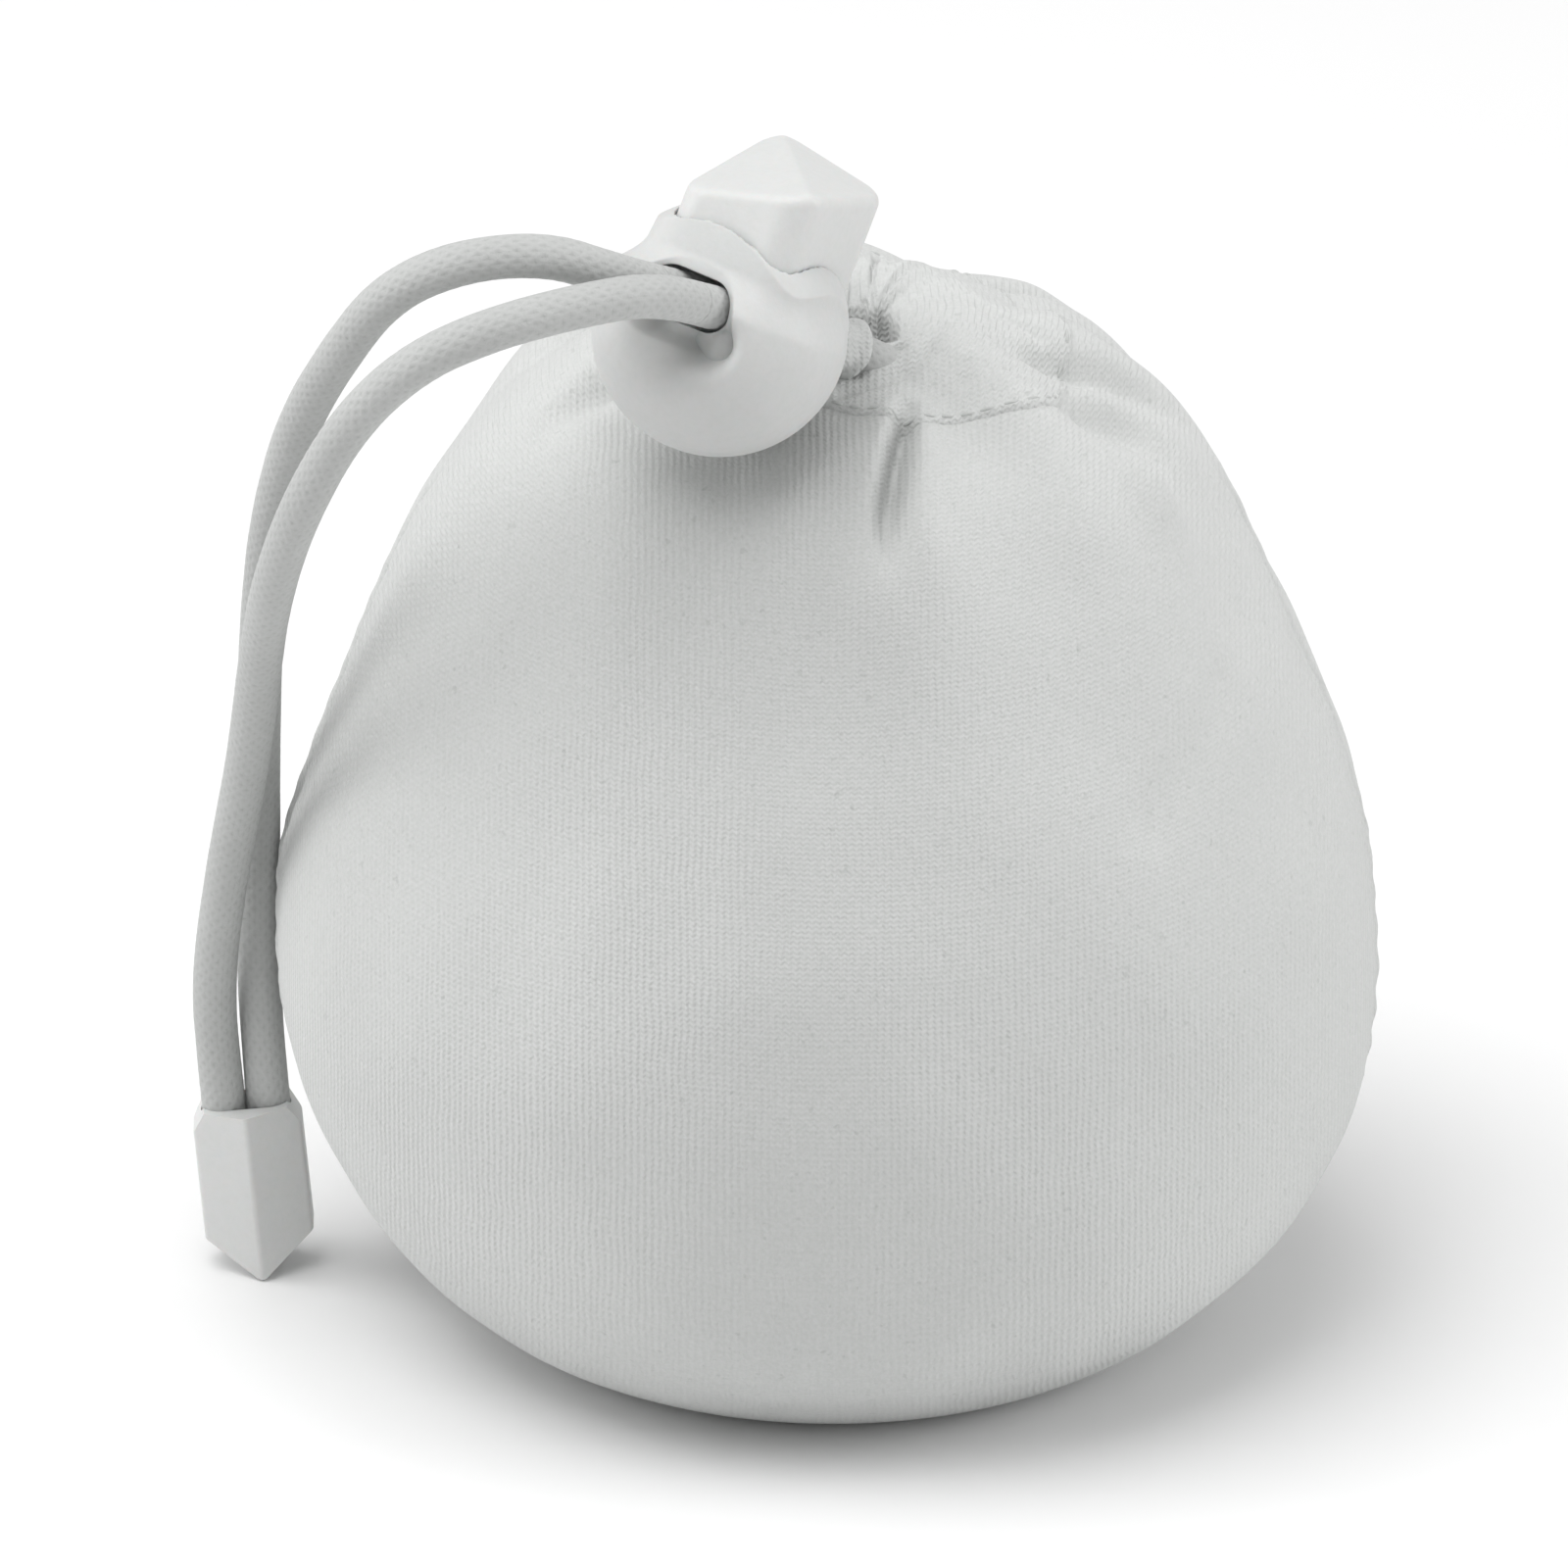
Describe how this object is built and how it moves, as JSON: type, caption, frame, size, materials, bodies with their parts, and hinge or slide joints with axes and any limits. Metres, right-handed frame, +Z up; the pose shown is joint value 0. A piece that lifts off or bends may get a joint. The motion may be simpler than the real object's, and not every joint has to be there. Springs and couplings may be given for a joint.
{
  "type": "refillable drawstring ball pouch",
  "caption": "Soft knit drawstring ball with loose fill, gathered hem, elastic drawcord, spring cord lock and faceted cord end; used as a refillable compress or chalk ball.",
  "frame": {"origin": "centre of the resting face under the ball, on the surface it stands on", "axes": "+Z up through the ball to the mouth, -Y towards the cord lock, -X towards the cord end"},
  "size_m": [0.0837, 0.077, 0.0944],
  "materials": {
    "knit_fabric": "fine white knit, matt, slightly fuzzy",
    "hem_fabric": "same knit, folded and gathered",
    "seam_fabric": "overlocked seam allowance",
    "thread": "spun polyester thread",
    "loose_fill": "loose dried fill",
    "elastic_cord": "braided white elastic cord",
    "lock_plastic": "white moulded plastic, satin",
    "button_plastic": "white moulded plastic, satin",
    "bell_plastic": "white moulded plastic, satin",
    "spring_steel": "bright spring wire"
  },
  "bodies": {
    "pouch": {"front_panel": "knit_fabric", "back_panel": "knit_fabric", "side_seam": "seam_fabric", "hem_casing": "hem_fabric", "hem_stitching": "thread", "fill": "loose_fill", "drawcord_loop": "elastic_cord", "drawcord_tail_front": "elastic_cord", "drawcord_tail_rear": "elastic_cord", "end_bell": "bell_plastic", "end_knot": "elastic_cord"},
    "lock": {"lock_barrel": "lock_plastic", "lock_spring": "spring_steel"},
    "button": {"lock_plunger": "button_plastic"}
  },
  "joints": [
    {"name": "lock_slide", "type": "slide", "parent": "pouch", "child": "lock", "axis": [-0.4499, -0.7597, 0.4696], "range_m": [0, 0.003]},
    {"name": "button_press", "type": "slide", "parent": "lock", "child": "button", "axis": [-0.3573, -0.3288, -0.8742], "range_m": [0, 0.003], "stiffness_N_per_m": 400, "springref_m": -0.002, "deforming": ["lock_spring"]}
  ]
}
